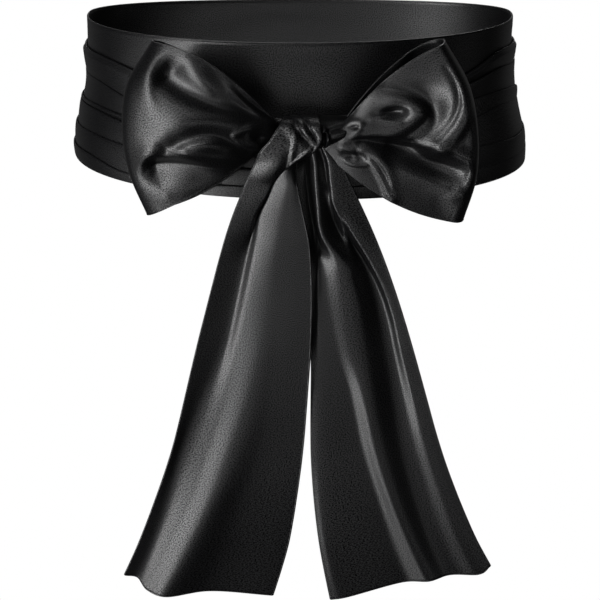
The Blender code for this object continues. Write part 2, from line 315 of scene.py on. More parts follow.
def waist_point(turn, height, out):
    side = np.sin(turn)
    fore = np.cos(turn)
    flare = FLARE * soft_step((FLARE_FROM - height) / (FLARE_FROM - FLARE_TO))
    reach = np.where(fore > 0, FRONT_REACH, BACK_REACH)
    wide = HALF_WIDTH + flare + out
    deep = reach + FLARE_SHARE * flare + out
    x = np.sign(side) * np.abs(side) ** ROUNDNESS * wide
    y = WIDEST_Y - np.sign(fore) * np.abs(fore) ** ROUNDNESS * deep
    return np.stack([x, y, height], axis=-1)


def bottom_height(turn, base):
    return base - LOWER_EDGE_TILT * np.sin(turn) - LOWER_EDGE_DIP * np.maximum(0.0, np.cos(turn)) ** 2


def top_height(turn):
    return UPPER_EDGE + UPPER_EDGE_RISE * np.sin(turn) ** 2


# %% [markdown]
# Hand-wound cloth is never flat. Long shallow ripples run round the waist, a few tenths of a
# millimetre deep, and satin shows every one of them. A short sum of sines does it, with unequal
# periods so that nothing repeats in step.

# %% Ripples
RIPPLES = (
    # waves round the waist, waves in 100 mm of height, phase, depth
    (2.0, 0.9, 0.4, 0.30),
    (3.0, -1.7, 2.1, 0.22),
    (5.0, 2.6, 4.0, 0.14),
    (7.0, -3.4, 1.2, 0.08),
    (11.0, 4.3, 5.1, 0.05),
)


def ripple(turn, height, shift=0.0):
    total = 0.0
    for round_waist, up, phase, depth in RIPPLES:
        wave = round_waist * turn + 2 * math.pi * up * height / 100 + phase + shift
        total = total + depth * np.sin(wave)
    return total


# %% [markdown]
# The first turn is a plain wall that shows above the bow, inside, and as a thin line at the bottom.
# It is a closed outline, down the outside and up the inside, carried round the waist. Its edges are
# rounded, and its ripples are stilled at the top, where the hem holds the cloth.

# %% The first turn
WALL = 1.2
RING_STEPS = 260
FIRST_TURN_ROWS = 70
FIRST_TURN_BOTTOM = -44.0
EDGE_ROUNDING = 0.6
FIRST_TURN_RIPPLE = 0.8
STILL_PARTS = 8


def first_turn(u, v):
    turn = (2 * u - 1) * math.pi
    top = top_height(turn)
    low = bottom_height(turn, FIRST_TURN_BOTTOM)
    outside = v <= 0.5
    down = np.where(outside, 2 * v, 2 - 2 * v)
    height = top + (low - top) * down
    edge = np.minimum(height - low, top - height)
    rounded = np.sqrt(np.clip(1 - (1 - edge / EDGE_ROUNDING) ** 2, 0.0, 1.0))
    thin = np.where(edge < EDGE_ROUNDING, rounded, 1.0)
    out = WALL / 2 + np.where(outside, 0.5, -0.5) * WALL * thin
    wavy = ripple(turn, height) * soft_step(down * STILL_PARTS) * FIRST_TURN_RIPPLE
    return waist_point(turn, height, out + wavy)


inner_wrap = make_piece("first_turn", shaped_grid(RING_STEPS, 2 * FIRST_TURN_ROWS, first_turn), cloth)

# %% [markdown]
# The second turn is gathered by hand into flat pleats that open upward, like a cummerbund's. Each
# pleat has a nose: the cloth comes up, rolls over and goes down behind itself, and the pocket
# behind it is what draws the dark line in the photograph. The nose is a short outline that is
# repeated for each pleat, scaled by how far that pleat stands out at this place round the waist.

# %% The pleats
PLEAT_TURNS = (-180, -150, -95, -75, -60, -46, -20, 0)
PLEATS = (
    # left side: heights, how proud; right side: heights, how proud
    ((33, 31, 27, 26.4, 26, 22, 4, -2), (1.0, 1.0, 1.0, 1.0, 1.0, 1.0, 1.0, 1.0),
     (33, 31, 28, 28.6, 28.5, 20, 4, -2), (1.0, 1.0, 1.0, 1.0, 1.2, 1.2, 1.0, 1.0)),
    ((17, 16, 12, 10.5, 9.5, 4, -7, -11), (0.7, 0.7, 0.3, 0.2, 0.5, 0.9, 0.9, 0.9),
     (17, 16, 15, 17, 18, 13, -4, -11), (0.7, 0.7, 0.4, 0.3, 0.7, 0.9, 0.9, 0.9)),
    ((-2, -3, -7, -5.5, -5, -7, -17, -20), (0.8, 0.8, 1.0, 1.0, 1.0, 1.0, 0.9, 0.9),
     (-2, -3, -5, 2, 4, 3, -14, -20), (0.8, 0.8, 1.0, 0.9, 0.9, 0.8, 0.9, 0.9)),
    ((-6, -7, -9.5, -8.4, -8.2, -11, -21, -24), (0.2, 0.4, 1.0, 0.9, 0.9, 0.9, 0.5, 0.5),
     (-6, -8, -12, -7, -5, -8, -19, -24), (0.2, 0.4, 0.2, 0.1, 0.5, 0.5, 0.5, 0.5)),
    ((-18, -19, -24, -23, -22.5, -24, -29, -31), (0.7, 0.7, 1.0, 0.9, 0.9, 0.9, 0.9, 0.9),
     (-18, -19, -27, -27, -26.5, -24.5, -29, -31), (0.7, 0.7, 0.3, 0.8, 0.9, 0.9, 0.9, 0.9)),
    ((-33, -34, -37, -36, -36, -40, -40.5, -41), (0.7, 0.7, 0.8, 0.8, 0.8, 0.7, 0.7, 0.7),
     (-33, -34, -39, -39, -39, -39, -40.5, -41), (0.7, 0.6, 0.3, 0.1, 0.1, 0.2, 0.6, 0.6)),
)
MOST_PROUD = 1.3
SEAM_GAP = 0.3
SECOND_TURN_OUT = WALL + SEAM_GAP
SECOND_TURN_WALL = 1.0
SECOND_TURN_BOTTOM = -47.3
PLEAT_STEP = 1.25
# the nose: how far below the pleat's edge (times how proud it is), and its share of the step
NOSE = ((-0.4, 0.0), (0.9, 0.0), (1.8, 0.02), (2.0, 0.14), (1.6, 0.25), (0.8, 0.33), (0.25, 0.42),
        (0.0, 0.58), (0.05, 0.75), (0.35, 0.92), (0.9, 1.02), (1.7, 1.06))
NOSE_END_DOWN, NOSE_END_SHARE = NOSE[-1]
# the top pleat is the turn's own edge, so it has only the front of a nose, set on the inner face
TOP_NOSE = NOSE[7:]
TOP_LEAST_PROUD = 0.8
TOP_NOSE_OUT = 0.4
TOP_NOSE_FROM = 0.42
# from a nose down into the next pleat's pocket
SLOPE_SHARES = (0.10, 0.2, 0.3, 0.42, 0.54, 0.66, 0.78, 0.88, 0.95)
SLOPE_BEND = 1.4
SLOPE_END = 0.45


def read_round_waist(turn, left, right):
    places = np.radians(PLEAT_TURNS)
    from_knot = -np.abs(turn)
    return np.where(turn < 0, spline(places, left, from_knot), spline(places, right, from_knot))


def pleated_face(turn, bottom):
    """Heights and outs down the pleats, and the height of the turn's top edge."""
    heights = []
    outs = []
    edges = [read_round_waist(turn, row[0], row[2]) for row in PLEATS]
    proud = [np.clip(read_round_waist(turn, row[1], row[3]), 0.0, MOST_PROUD) for row in PLEATS]
    base = SECOND_TURN_OUT + SECOND_TURN_WALL
    for k, (edge, stand) in enumerate(zip(edges, proud)):
        if k == 0:
            step = PLEAT_STEP * np.maximum(stand, TOP_LEAST_PROUD)
            heights += [edge - down for down, share in TOP_NOSE]
            outs += [SECOND_TURN_OUT + TOP_NOSE_OUT + (share - TOP_NOSE_FROM) * step
                     for down, share in TOP_NOSE]
        else:
            heights += [edge - down * stand for down, share in NOSE]
            outs += [base + PLEAT_STEP * stand * share for down, share in NOSE]
        start = edge - NOSE_END_DOWN * stand
        below = edges[k + 1] if k + 1 < len(edges) else bottom
        heights += [start + (below + SLOPE_END - start) * share for share in SLOPE_SHARES]
        outs += [base + PLEAT_STEP * stand * NOSE_END_SHARE * (1 - share**SLOPE_BEND)
                 for share in SLOPE_SHARES]
    return heights, outs, edges[0]


# %% [markdown]
# Below the last pleat the outline turns the lower edge and climbs the flat inner face, back to the
# top. The turn starts and ends behind the knot, so its two ends lie a few degrees apart there.

# %% The second turn
LOWER_EDGE_UP = (0.3, 0.0)
LOWER_EDGE_OUT = (SECOND_TURN_WALL - 0.15, 0.5)
INNER_FACE_POINTS = 24
INNER_FACE_FROM = 0.15
INNER_FACE_SHORT = 0.5
SECOND_TURN_RIPPLE = 0.7
RIPPLE_SHIFT = 1.7
OUTER_FACE_LIFT = 0.5
KNOT_TURN = math.radians(2.5)


def second_turn_outline(turn):
    """Heights and outs of the closed outline at each turn, one column for each point."""
    bottom = bottom_height(turn, SECOND_TURN_BOTTOM)
    heights, outs, top = pleated_face(turn, bottom)
    heights += [bottom + up for up in LOWER_EDGE_UP]
    outs += [SECOND_TURN_OUT + out for out in LOWER_EDGE_OUT]
    for share in np.linspace(0.0, 1.0, INNER_FACE_POINTS):
        heights.append(bottom + INNER_FACE_FROM + (top - INNER_FACE_SHORT - bottom) * share)
        outs.append(SECOND_TURN_OUT)
    heights.append(heights[0])
    outs.append(outs[0])
    return (np.stack([height + 0 * turn for height in heights], axis=-1),
            np.stack([out + 0 * turn for out in outs], axis=-1))


outline_size = second_turn_outline(np.zeros(1))[0].shape[1] - 1


def second_turn(u, v):
    turn = KNOT_TURN + u * 2 * (math.pi - KNOT_TURN)
    turn = (turn + math.pi) % (2 * math.pi) - math.pi
    heights, outs = second_turn_outline(turn)
    row = np.rint(v * outline_size).astype(int)
    pick = np.arange(len(turn))
    height = heights[pick, row]
    out = outs[pick, row]
    outer_face = row < outline_size - INNER_FACE_POINTS - 1
    lift = SECOND_TURN_RIPPLE * ripple(turn, height, RIPPLE_SHIFT) + OUTER_FACE_LIFT
    return waist_point(turn, height, out + np.where(outer_face, lift, 0.0))


outer_wrap = make_piece("pleated_turn", shaped_grid(RING_STEPS, outline_size, second_turn), cloth)

# %% [markdown]
# A loop of the bow leaves the knot, swells, turns at its outer end and comes back. One function
# gives its middle surface, with u along the strip and v across it. The photograph is all creases
# here, so each table has them in named groups, the large ones first and the small gathers at the
# knot last. The creases of the back ply can't be seen in the photograph, so they are guessed, and of
# the same kind.

# %% The loops
LOOP_LEFT = {
    # x and z where it leaves the knot, top and bottom, and at five places down its outer end
    "root": ((-14.5, 1.4), (-23.2, -15.4)),
    "fold": ((-84.5, 46.5), (-99.5, 22), (-103, -5), (-99.3, -31), (-90, -55)),
    # how far the top and the bottom edge bow up, on the front ply and on the back ply
    "front_bow": (11, -1),
    "back_bow": (5, -8),
    # y midway between the plies: at the knot, about in the belly, and at the outer end
    "depths": (-124, -127, -121),
    # how far the front and the back ply stand off that, and the front ply's share of it on its
    # way from the knot to the outer end
    "half_hollow": (20.5, 21),
    "front_profile": (0.35, 0.62, 0.85, 0.97, 1.0, 0.93, 0.82, 0.69, 0.52, 0.29, 0),
}
LOOP_RIGHT = {
    "root": ((29.4, 5.6), (19.1, -20.4)),
    "fold": ((82.5, 47), (97, 22), (102.5, -5), (102.5, -31), (96, -56.5)),
    "front_bow": (5.8, -8),
    "back_bow": (7, -6),
    "depths": (-124, -125.5, -121),
    "half_hollow": (20.5, 21.5),
    "front_profile": (0.50, 0.60, 0.66, 0.73, 0.80, 0.87, 0.94, 1.0, 1.02, 0.76, 0),
}
CREASES_LEFT = (
    # upper hollow, the rim round its blind end, the crest above it and the second valley
    ((-74, 27), (-62, 16), (-22, 6), (-8.0, -6.5, -1.2), (11.0, 6.0, 0.55)),
    ((-66, 42), (-92, 38), (-84, 12), (0.8, 2.6, 0.6), (4.5, 7.0)),
    ((-62, 38), (-52, 22), (-28, 8), (0.8, 1.6, 0.4), (7.0, 8.0)),
    ((-53, 36), (-44, 20), (-22, 3), (-1.0, -2.0, -0.6), (5.0, 7.0, 0.5)),
    # streaks along the top edge
    ((-39.5, 21.5), (-33, 13), (-17, 2.3), (0.5, 1.1, 0.6), (1.3, 2.2)),
    ((-37.5, 24.5), (-29, 13), (-16, 3.5), (-0.6, -1.6, -0.6), (1.6, 1.8)),
    # belly
    ((-90, 6), (-60, 2), (-26, -1), (0.4, 2.4, 1.6), (9.0, 8.0)),
    # winding valley with the bump in its bend
    ((-76, -12), (-50, 7), (-31, -14), (-2.5, -3.6, -1.6), (6.0, 4.0)),
    ((-64, -11), (-54, -5), (-42, -12), (0.8, 2.0, 0.8), (4.0, 5.0)),
    # pressed line, lower hollow and its rim
    ((-74, -12), (-57, -14), (-32, -21), (0.5, 0.7, 0.4), (2.5, 1.2)),
    ((-83, -23), (-68, -19), (-44, -26), (-9.0, -7.0, -1.2), (5.0, 11.5, 0.75)),
    ((-76, -8), (-101, -20), (-78, -40), (0.6, 2.0, 0.6), (3.5, 5.5)),
    # eye-shaped fold at the knot
    ((-37, -3.5), (-27, 4), (-16, -1), (0.7, 1.7, 0.9), (1.6, 2.0)),
    ((-37, -3.5), (-34, -12), (-20, -13.5), (0.7, 1.7, 0.8), (2.0, 1.6)),
    ((-27, -1), (-33, -6), (-23, -11.5), (0.5, 1.3, 0.6), (1.3, 1.5)),
    ((-27, -5), (-24, -5.5), (-19, -7), (-0.8, -2.0, -0.8), (2.8, 2.8)),
)
CREASES_RIGHT = (
    # the ridge shaped like a three, with the narrow valley inside its upper half
    ((79, 44), (110, 17), (81, -12), (1.5, 4.5, 2.4), (4.0, 12.0)),
    ((80, -12), (106, -16), (97, -32), (2.0, 2.6, 2.0), (4.5, 5.0)),
    ((97, -32), (92, -40), (78, -41), (2.0, 1.8, 0.6), (5.0, 6.0)),
    ((83, 34), (99, 14), (78, -6), (-0.6, -1.4, -0.8), (1.8, 2.4)),
    # crescent outside its ring, and the bulge inside
    ((50, 22), (97, 14), (54, -10), (-2.0, -6.0, -3.0), (8.5, 4.0)),
    ((56, 16), (87, 8), (60, -7), (1.0, 3.4, 1.2), (3.5, 10.0)),
    ((45, 6.5), (53, 9), (58, 9), (-1.0, -5.0, -4.2), (2.8, 3.4)),
    ((41, 4.0), (50.2, 3.6), (57, 2.7), (0.3, 0.8, 0.5), (1.2, 1.4)),
    # valleys that run out of the knot
    ((29.8, -8), (44.6, -5.6), (64, -8), (-1.0, -2.6, -1.6), (1.5, 4.0)),
    ((36, -9), (58, -12), (80, -14), (-1.6, -3.6, -1.0), (2.6, 4.0)),
    ((48, -12), (74, -20), (94, -27), (-1.5, -8.5, -4.5), (5.5, 8.0)),
    ((90, -34), (97, -45), (95, -58), (0.8, 3.2, 2.0), (3.0, 10.0)),
    ((46, -16), (64, -26), (84, -33), (0.4, 1.2, 0.6), (3.0, 4.0)),
    # the spindle of two ridges below them
    ((26.3, -8), (52.7, -14.3), (54, -42), (0.8, 2.2, 1.4), (3.4, 3.0)),
    ((35.5, -13.2), (46, -23), (51, -40), (0.5, 1.2, 0.8), (2.0, 2.0)),
    ((38, -15), (49, -24), (53, -38), (-0.5, -1.2, -0.5), (1.8, 1.8)),
    # hook and curl at the knot
    ((24.6, -12.6), (32, -13.2), (32.2, -19.6), (0.5, 1.0, 0.6), (1.4, 1.4)),
    ((25.8, -19.6), (30, -23.7), (38, -22), (0.5, 1.0, 0.5), (1.4, 1.4)),
    ((27, -16), (31, -17), (36, -18), (-1.0, -2.2, -1.5), (2.8, 2.8)),
    ((28.5, 2), (41, 5.4), (28.6, -8), (0.6, 1.4, 0.6), (1.6, 1.6)),
    ((29, -1), (33, 0), (36, -1), (-0.6, -1.2, -0.4), (1.3, 1.3)),
)
BACK_CREASES = (
    ((88, 30), (62, 16), (22, -2), (5.0, 4.5, 1.0), (9.0, 7.0)),
    ((96, 6), (64, 2), (24, -6), (-5.0, -4.0, -1.0), (6.0, 8.0)),
    ((92, -18), (66, -14), (26, -10), (4.5, 4.0, 1.0), (6.0, 7.0)),
    ((86, -38), (60, -26), (24, -14), (-3.5, -3.0, -0.8), (5.0, 7.0)),
    ((60, 36), (48, 20), (24, 2), (-2.5, -2.0, -0.5), (3.5, 4.0)),
)

# %% [markdown]
# The strip runs from the knot along the front ply to the loop's outer end, and back along the hidden
# ply. A half wave carries it out and back, the profile holds the two plies apart, and the creases
# come last. Each ply's creases fade out before the outer end, so that they don't show on the other.

# %% The loops' surfaces
EDGE_HOLLOW = 0.62
ROOT_TURN = 0.026
PLY_CHANGE = (0.47, 0.53)
FOLDS_FADE = (0.36, 0.47)
LOOP_STEPS = (230, 150)
CLOTH_WALL = 1.0


def loop_surface(shape, creases, side):
    root_top, root_bottom = (np.array(point, float) for point in shape["root"])
    fold_places = np.linspace(0.0, 1.0, len(shape["fold"]))
    profile_places = np.linspace(0.0, 1.0, len(shape["front_profile"]))
    root_reach = math.sin(math.pi * ROOT_TURN)

    def place(t, v):
        reach = np.sin(math.pi * t)
        front = soft_step((PLY_CHANGE[1] - t) / (PLY_CHANGE[1] - PLY_CHANGE[0]))
        bow_top = shape["front_bow"][0] * front + shape["back_bow"][0] * (1 - front)
        bow_low = shape["front_bow"][1] * front + shape["back_bow"][1] * (1 - front)
        bow = bow_top * (1 - v) ** 2 + bow_low * v**2
        fold = spline(fold_places, shape["fold"], v)
        root = root_top + (root_bottom - root_top) * v[:, None]
        share = (reach - root_reach) / (1 - root_reach)
        x = root[:, 0] + (fold[:, 0] - root[:, 0]) * share
        z = root[:, 1] + (fold[:, 1] - root[:, 1]) * share + bow * 4 * share * (1 - share)
        root_y, belly_y, fold_y = shape["depths"]
        centre = root_y + (fold_y - root_y) * share**2 + (belly_y - root_y) * np.sin(math.pi * share)
        hollow = np.where(t < 0.5, *shape["half_hollow"])
        hollow = hollow * (EDGE_HOLLOW + (1 - EDGE_HOLLOW) * np.sin(math.pi * v))
        stand = spline(profile_places, shape["front_profile"], np.minimum(2 * t, 1.0))
        y = centre - hollow * np.where(t < 0.5, stand, np.sin(2 * math.pi * t))
        fade = soft_step((FOLDS_FADE[1] - t) / (FOLDS_FADE[1] - FOLDS_FADE[0]))
        back_fade = soft_step((t - 1 + FOLDS_FADE[1]) / (FOLDS_FADE[1] - FOLDS_FADE[0]))
        y = y - crease_lift(x, z, creases) * fade
        y = y + crease_lift(side * x, z, BACK_CREASES) * back_fade
        return np.stack([x, y, z], axis=-1)

    return place


def thicken(piece):
    shell = piece.modifiers.new("cloth", "SOLIDIFY")
    shell.thickness = CLOTH_WALL * MM
    shell.offset = 0.0
    return piece


loop_places = {
    "loop_left": loop_surface(LOOP_LEFT, CREASES_LEFT, -1),
    "loop_right": loop_surface(LOOP_RIGHT, CREASES_RIGHT, 1),
}
loops = {}
for node, place in loop_places.items():
    grid = shaped_grid(*LOOP_STEPS, place)
    loops[node] = thicken(make_piece("bow_" + node, grid, cloth, closed=False))

# %% [markdown]
# The tails hang from the knot and open downward. They are drawn as sections across the strip: at
# each height the table gives x and y at every fold. The left tail doesn't start under the knot, it
# is the same cloth that crosses over it. So its first rows climb over the knot's front and top, with
# x, y and z at each fold, and the hanging rows follow on. A few creases draw the gathers on that
# strand and the ridge below them, and one on the right tail draws the fold's edge beside the dark
# pocket under the knot.

# %% The tails
LEFT_PLACES = (0.0, 0.20, 0.38, 0.54, 0.74, 1.0)
LEFT_OVER_KNOT = (
    # outer edge, valley, flank, crest, panel, inner edge
    ((-4, -114, 0), (9, -114, 0), (8.5, -113.5, -1.5), (7, -113, -4), (6, -113, -5), (4, -113, -6)),
    ((-7, -121, 2.6), (10, -120, 3), (9.5, -119.5, 1.5), (7.5, -119, -0.5), (6, -119, -1), (4, -119, -2)),
    ((-9, -130, 3.6), (9.5, -131, 4), (8.8, -129, 2.5), (6.5, -126.5, 0.5), (5, -126, 0), (3, -126, -2)),
    ((-12, -137, 0), (10.4, -140, -0.4), (9.2, -137, -0.7), (6.5, -133.5, -2), (5, -133, -3),
     (2, -132, -5)),
    ((-17.2, -138.5, -7.9), (10.8, -141, -6.7), (9, -138.5, -6.8), (5.5, -135.5, -7.5), (4, -135, -8),
     (1, -134, -9)),
    ((-21.8, -137, -13.2), (7.4, -141.5, -12.5), (5.7, -139, -12.8), (2.5, -136.5, -13.5), (1, -136, -14),
     (-1, -135, -15)),
    ((-26.2, -131.5, -23.1), (-4.5, -137.5, -21.5), (-5.5, -136, -22.7), (-5.5, -135, -24.7),
     (-4.5, -134, -25.5), (-3.5, -131, -27)),
)
LEFT_TOPS = (-33.0, -33.5, -34.0, -34.5, -34.5, -35.0)
LEFT_HEMS = (-287, -289.5, -297, -299.3, -298.5, -303)
LEFT_HANGING = (
    (-37, (-32.3, -129.8), (-16.5, -128.5), (-15.5, -131), (-9.5, -133.5), (-5, -134.5), (-1.5, -134)),
    (-54, (-39, -128.9), (-26.1, -127.2), (-22, -130), (-13.3, -133), (-6, -134.2), (2, -134.2)),
    (-69, (-44, -128.5), (-29.8, -126.0), (-24.7, -129.6), (-15.4, -132.8), (-6.2, -134), (5, -134)),
    (-87, (-49, -129.5), (-34.6, -125.5), (-28, -129.3), (-17.6, -132.3), (-6.2, -133.3), (6.4, -133.3)),
    (-106, (-54, -129.5), (-39, -125.2), (-31.2, -129), (-19.7, -132), (-8.3, -132.8), (6.8, -132.8)),
    (-137, (-62, -129), (-46.5, -125), (-38, -128.3), (-25, -132), (-12.6, -132.6), (6, -132)),
    (-169, (-69.7, -128), (-58.5, -124.5), (-46, -127.5), (-32, -131.5), (-17, -131.5), (4, -131.3)),
    (-202, (-78, -127.5), (-70.5, -124.5), (-57, -127.5), (-42, -132), (-24, -130), (1.5, -129.8)),
    (-235, (-89, -127.5), (-80.5, -125.3), (-68, -129), (-54, -133.5), (-36, -129), (-2.5, -128)),
    (-269, (-102, -127.5), (-93, -125.7), (-84, -128.5), (-69, -133.5), (-46, -127.5), (-8, -125.5)),
    (-302, (-117, -127), (-107.5, -125.7), (-98, -128), (-86, -132.5), (-60, -126), (-17, -123.5)),
)
RIGHT_PLACES = (0.0, 0.10, 0.28, 0.46, 0.56, 0.78, 1.0)
RIGHT_TOPS = (-14, -13.5, -13, -13, -12, -12, -14)
RIGHT_HEMS = (-304, -302, -294, -290, -288, -285.5, -280)
RIGHT_HANGING = (
    # left edge, its turn, hollow, ridge, valley, outer crest, outer edge
    (-12, (0, -128), (2, -129), (4, -130), (7, -131), (10, -130), (13, -131), (16, -130)),
    (-22, (-1, -122), (2, -121), (5, -124), (9, -131), (13, -128), (17, -132), (23, -131)),
    (-37, (-3, -118.5), (2, -118.5), (5.5, -121.5), (10, -132), (15, -128), (19, -132), (30, -129.5)),
    (-54, (-3, -118), (4, -118), (8, -122), (12, -132), (18, -127), (24.5, -131.5), (38, -128.5)),
    (-69, (-1, -117.5), (7, -118.5), (11, -124), (16, -132), (25, -122.8), (35, -130.5), (44.5, -128.5)),
    (-87, (2, -119), (8.5, -127), (14, -129), (30, -131.5), (38, -124), (44, -128.3), (51.5, -128.8)),
    (-106, (4, -122), (8.5, -127.5), (16, -129), (34, -131), (44, -124), (53, -127), (58, -128)),
    (-137, (6.8, -127), (11, -128), (21, -128.7), (38.5, -130.5), (50.5, -124.2), (61, -126.8),
     (67.5, -127.5)),
    (-169, (7, -127.3), (12, -128.2), (30, -128), (44, -131.3), (56, -124.7), (69.5, -127.2),
     (76.5, -127.5)),
    (-202, (7, -127.6), (12.8, -128.5), (36, -127), (50.5, -131), (62, -125.6), (78.5, -128), (86, -128)),
    (-235, (9, -128.3), (15, -129.5), (45, -126.5), (60, -131), (71, -126), (90, -128.9), (98, -128.5)),
    (-269, (13, -128.8), (19.6, -130), (55, -125), (73, -130), (83, -126), (103.5, -129.3), (113, -129)),
    (-302, (19, -127.3), (28, -128.5), (67, -122.5), (88, -128.5), (99, -125.5), (121, -129),
     (132, -128.5)),
)
FOLD_EDGE_CREASES = (
    ((14, -36), (28.5, -66), (32, -88), (1.0, 3.0, 0.6), (1.6, 2.2)),
)
STRAND_CREASES = (
    # gathers
    ((-5.5, 5), (-2, -2), (8.5, -11.5), (-2.0, -3.0, -1.8), (1.4, 1.4)),
    ((-1, 5), (1.6, -2), (10, -10.4), (0.8, 1.8, 0.8), (1.2, 1.2)),
    ((1.5, 5), (4.5, -0.5), (11.5, -9), (-1.8, -2.6, -1.4), (1.2, 1.2)),
    ((-8, 1), (-4.6, -4.5), (1.5, -11.5), (0.3, 1.3, 0.6), (1.7, 1.5)),
    ((-1.7, 0), (-3.6, -11), (-5.4, -22), (0.5, 1.4, 1.0), (1.4, 1.2)),
    ((6.8, -11.7), (-2.5, -19), (-6, -23.5), (0.8, 1.2, 0.8), (1.0, 1.0)),
    # ridge below them
    ((-10, -14), (-16.5, -36), (-38, -78), (0.8, 4.4, 1.2), (3.8, 12.0)),
)

# %% [markdown]
# Each tail is read from its table at a few stations from its top to its hem, which gives rows that
# follow the slanted hem. The grid is laid through them, first down the tail at each fold and then
# across it from fold to fold.

# %% The tails' surfaces
TAIL_STEPS = (130, 230)
# the strand's creases end at this share of the width and at this height, each softly
STRAND_WIDTH = 0.23
STRAND_WIDTH_FADE = 0.05
STRAND_LOW = -88
STRAND_LOW_FADE = 26
# the rows of a tail lie closer together under the knot, where its folds change fastest
CLOSE_STATIONS = (0.0, 0.035, 0.075)
EVEN_STATIONS_FROM = 0.12
EVEN_STATIONS = 14


def hanging_rows(table, places, tops, hems, stations):
    """Rows of x, y, z at each fold, for shares of the way from the tail's top to its hem."""
    heights = [-row[0] for row in table]
    folds = [np.array([row[k] for row in table], float) for k in range(1, len(places) + 1)]
    rows = []
    for station in stations:
        row = []
        for k, place in enumerate(places):
            z = tops[k] + (hems[k] - tops[k]) * station
            x, y = spline(heights, folds[k], np.array([-z]))[0]
            row.append((x, y, z))
        rows.append(row)
    return np.array(rows)


def everywhere(u, z):
    return np.ones_like(u)


def on_the_strand(u, z):
    in_width = soft_step((STRAND_WIDTH - u) / STRAND_WIDTH_FADE)
    above = soft_step((z - STRAND_LOW) / STRAND_LOW_FADE)
    return in_width * above


def tail_surface(rows, places, creases, reach):
    """A grid function through rows in order down the tail, spaced by their mean distance."""
    steps = np.linalg.norm(np.diff(rows, axis=0), axis=2).mean(axis=1)
    down = np.concatenate([[0.0], np.cumsum(steps)])
    down /= down[-1]
    fold_places = np.array(places)

    def place(u, v):
        across = np.stack([spline(down, rows[:, k], v) for k in range(len(places))], axis=1)
        slopes = np.gradient(across, fold_places, axis=1)
        i = np.clip(np.searchsorted(fold_places, u) - 1, 0, len(places) - 2)
        span = (fold_places[i + 1] - fold_places[i])[:, None]
        t = (u - fold_places[i])[:, None] / span
        pick = np.arange(len(u))
        point = cubic_piece(t, span, across[pick, i], slopes[pick, i],
                            across[pick, i + 1], slopes[pick, i + 1])
        point[:, 1] -= crease_lift(point[:, 0], point[:, 2], creases) * reach(u, point[:, 2])
        return point

    return place


stations = np.concatenate([CLOSE_STATIONS, np.linspace(EVEN_STATIONS_FROM, 1.0, EVEN_STATIONS)])
left_rows = np.concatenate([
    np.array(LEFT_OVER_KNOT, float),
    hanging_rows(LEFT_HANGING, LEFT_PLACES, LEFT_TOPS, LEFT_HEMS, stations)])
right_rows = hanging_rows(RIGHT_HANGING, RIGHT_PLACES, RIGHT_TOPS, RIGHT_HEMS, stations)
tail_places = {
    "tail_left": tail_surface(left_rows, LEFT_PLACES, STRAND_CREASES, on_the_strand),
    "tail_right": tail_surface(right_rows, RIGHT_PLACES, FOLD_EDGE_CREASES, everywhere),
}
tails = {}
for node, place in tail_places.items():
    grid = shaped_grid(*TAIL_STEPS, place)
    tails[node] = thicken(make_piece("hanging_" + node, grid, cloth, closed=False))

# %% [markdown]
# Under the crossing strand the knot is a bundle. It is one rounded form in sections from left to
# right, and its own creases draw the strand that runs into the right loop, the small bud of a fold
# beside it and the pit where everything dives under.

# %% The knot
KNOT_SECTIONS = (
    # top x, top z, bottom x, bottom z, front y, back y
    (-12.7, -1.0, -20.2, -14.0, -129.0, -113.5),
    (-10.0, 1.0, -15.0, -17.0, -132.0, -111.0),
    (-4.0, 2.6, -7.0, -21.0, -134.0, -109.7),
    (4.0, 3.4, 1.0, -22.0, -135.0, -109.6),
    (12.0, 3.6, 9.0, -18.6, -135.5, -109.7),
    (21.0, 3.6, 18.0, -13.6, -135.5, -111.0),
    (32.0, 3.0, 29.0, -10.0, -133.0, -113.5),
)
KNOT_STEPS = (180, 200)
KNOT_SQUARE = 2.0 / 2.4
KNOT_END_FADE = 0.08
KNOT_CREASES = (
    # the strand into the right loop, and the flat cloth above it
    ((12, -8), (20, -6.5), (31, -3.5), (2.4, 3.4, 2.4), (3.4, 4.0)),
    ((13, -3.5), (21, -1.6), (30, 0.3), (-1.0, -1.8, -1.2), (1.3, 1.3)),
    ((10, 2), (20, 1.5), (29, 1.0), (-2.0, -2.0, -1.0), (3.0, 3.0)),
    # bud
    ((11, -11.6), (10.6, -3), (13.6, -2), (3.5, 4.5, 4.5), (1.0, 0.9)),
    ((13.6, -2), (17.6, -3.4), (14.8, -12.7), (4.5, 4.5, 3.0), (1.0, 0.9)),
    ((13.6, -4.4), (14.2, -8), (13.4, -12), (-2.0, -3.5, -3.0), (0.9, 0.9)),
    # pit
    ((8, -13), (10, -15.5), (14, -16), (-4.0, -5.0, -4.0), (3.0, 3.0)),
)


def knot_body(u, v):
    sections = spline(np.linspace(0, 1, len(KNOT_SECTIONS)), KNOT_SECTIONS, u)
    top_x, top_z, low_x, low_z, front, back = sections.T
    angle = 2 * math.pi * v
    up = np.sign(np.sin(angle)) * np.abs(np.sin(angle)) ** KNOT_SQUARE
    fore = np.sign(np.cos(angle)) * np.abs(np.cos(angle)) ** KNOT_SQUARE
    x = (top_x + low_x) / 2 + (top_x - low_x) / 2 * up
    z = (top_z + low_z) / 2 + (top_z - low_z) / 2 * up
    y = (front + back) / 2 + (front - back) / 2 * fore
    inside = soft_step(np.minimum(u, 1 - u) / KNOT_END_FADE)
    y = y - crease_lift(x, z, KNOT_CREASES) * inside * np.maximum(0.0, fore)
    return np.stack([x, y, z], axis=-1)


knot = make_piece("knot_bundle", shaped_grid(*KNOT_STEPS, knot_body), cloth)

# %% [markdown]
# A satin strip is finished with a narrow rolled hem: the raw edge is turned twice and caught with
# stitches too fine to show, which leaves a bead a little over a millimetre thick. It is a fine tube
# along the edge, made from the same function as the cloth so that it can't leave it.

